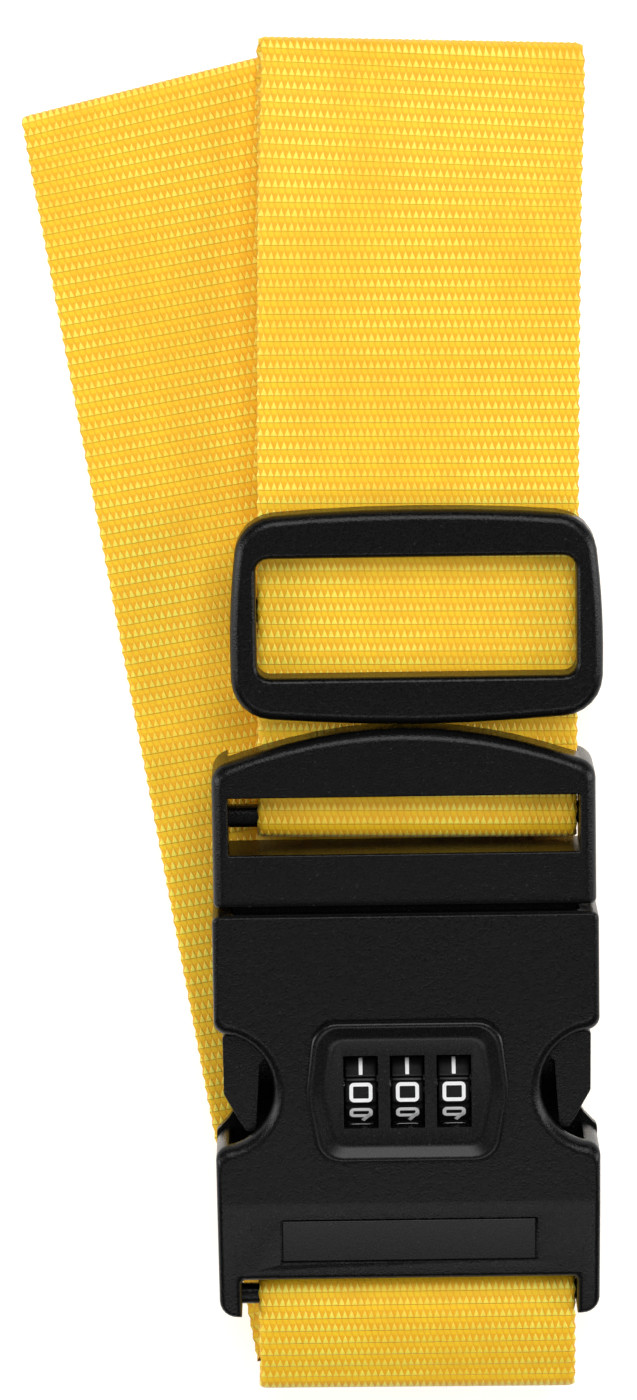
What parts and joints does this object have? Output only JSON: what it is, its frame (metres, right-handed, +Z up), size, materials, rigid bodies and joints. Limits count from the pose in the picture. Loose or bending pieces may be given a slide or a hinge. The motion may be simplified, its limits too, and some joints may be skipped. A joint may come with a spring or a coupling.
{
  "type": "luggage strap",
  "caption": "Yellow webbing luggage strap folded flat, with a black length slider and a black side-release buckle whose socket holds a combination lock.",
  "frame": {"origin": "on the surface that the folded strap lies on, straight under the middle dial's centre", "axes": "+X to the right across the strap, +Y along it from the lock to the slider, +Z up out of the lock's face"},
  "size_m": [0.0895, 0.2146, 0.0292],
  "materials": {
    "black_plastic": "fine spark-eroded grain",
    "bezel_plastic": "satin",
    "dial_plastic": "satin, with white digits",
    "steel": "bright zinc plate",
    "yellow_webbing": "woven, ribbed across"
  },
  "bodies": {
    "lock": {"lock_front_cover": "black_plastic", "lock_rear_cover": "black_plastic", "label_plate": "black_plastic", "dial_bezel": "bezel_plastic", "dial_shaft": "steel", "detent_spring": "steel", "plate_spring_left": "steel", "plate_spring_right": "steel", "cover_screw_1": "steel", "cover_screw_2": "steel", "cover_screw_3": "steel", "cover_screw_4": "steel", "webbing_folded": "yellow_webbing"},
    "dial_1_wheel": {"dial_1": "dial_plastic", "dial_1_cam": "dial_plastic"},
    "dial_2_wheel": {"dial_2": "dial_plastic", "dial_2_cam": "dial_plastic"},
    "dial_3_wheel": {"dial_3": "dial_plastic", "dial_3_cam": "dial_plastic"},
    "plate": {"locking_plate": "steel"},
    "reset": {"reset_button": "black_plastic"},
    "buckle": {"buckle_frame": "black_plastic", "webbing_front": "yellow_webbing"},
    "latch_left": {"latch_arm_left": "black_plastic"},
    "latch_right": {"latch_arm_right": "black_plastic"},
    "slider": {"slider_frame": "black_plastic", "webbing_return": "yellow_webbing"}
  },
  "joints": [
    {"name": "dial_1_spin", "type": "hinge", "parent": "lock", "child": "dial_1_wheel", "pos_m": [-0.00729, 0, 0.021], "axis": [1, 0, 0], "continuous": true},
    {"name": "dial_2_spin", "type": "hinge", "parent": "lock", "child": "dial_2_wheel", "pos_m": [0, 0, 0.021], "axis": [1, 0, 0], "continuous": true},
    {"name": "dial_3_spin", "type": "hinge", "parent": "lock", "child": "dial_3_wheel", "pos_m": [0.00729, 0, 0.021], "axis": [1, 0, 0], "continuous": true},
    {"name": "buckle_pull", "type": "slide", "parent": "lock", "child": "buckle", "axis": [0, 1, 0], "range_m": [0, 0.042], "deforming": ["latch_arm_left", "latch_arm_right"]},
    {"name": "left_latch_squeeze", "type": "hinge", "parent": "buckle", "child": "latch_left", "pos_m": [-0.0256, 0.026, 0.02], "axis": [0, 0, 1], "range_deg": [0, 7], "stiffness_Nm_per_rad": 1},
    {"name": "right_latch_squeeze", "type": "hinge", "parent": "buckle", "child": "latch_right", "pos_m": [0.0256, 0.026, 0.02], "axis": [0, 0, 1], "range_deg": [-7, 0], "stiffness_Nm_per_rad": 1},
    {"name": "locking_plate_slide", "type": "slide", "parent": "lock", "child": "plate", "axis": [0, -1, 0], "range_m": [0, 0.0019], "deforming": ["plate_spring_left", "plate_spring_right"]},
    {"name": "slider_adjust", "type": "slide", "parent": "buckle", "child": "slider", "axis": [0.0134, 0.9999, 0], "range_m": [0, 0.038], "deforming": ["webbing_return"]},
    {"name": "reset_push", "type": "slide", "parent": "lock", "child": "reset", "axis": [0, 0, 1], "range_m": [0, 0.001], "stiffness_N_per_m": 400}
  ],
  "couplings": [
    {"joint": "right_latch_squeeze", "follows": "left_latch_squeeze", "ratio": -1},
    {"joint": "locking_plate_slide", "follows": "left_latch_squeeze", "m_per_rad": 0.015}
  ]
}
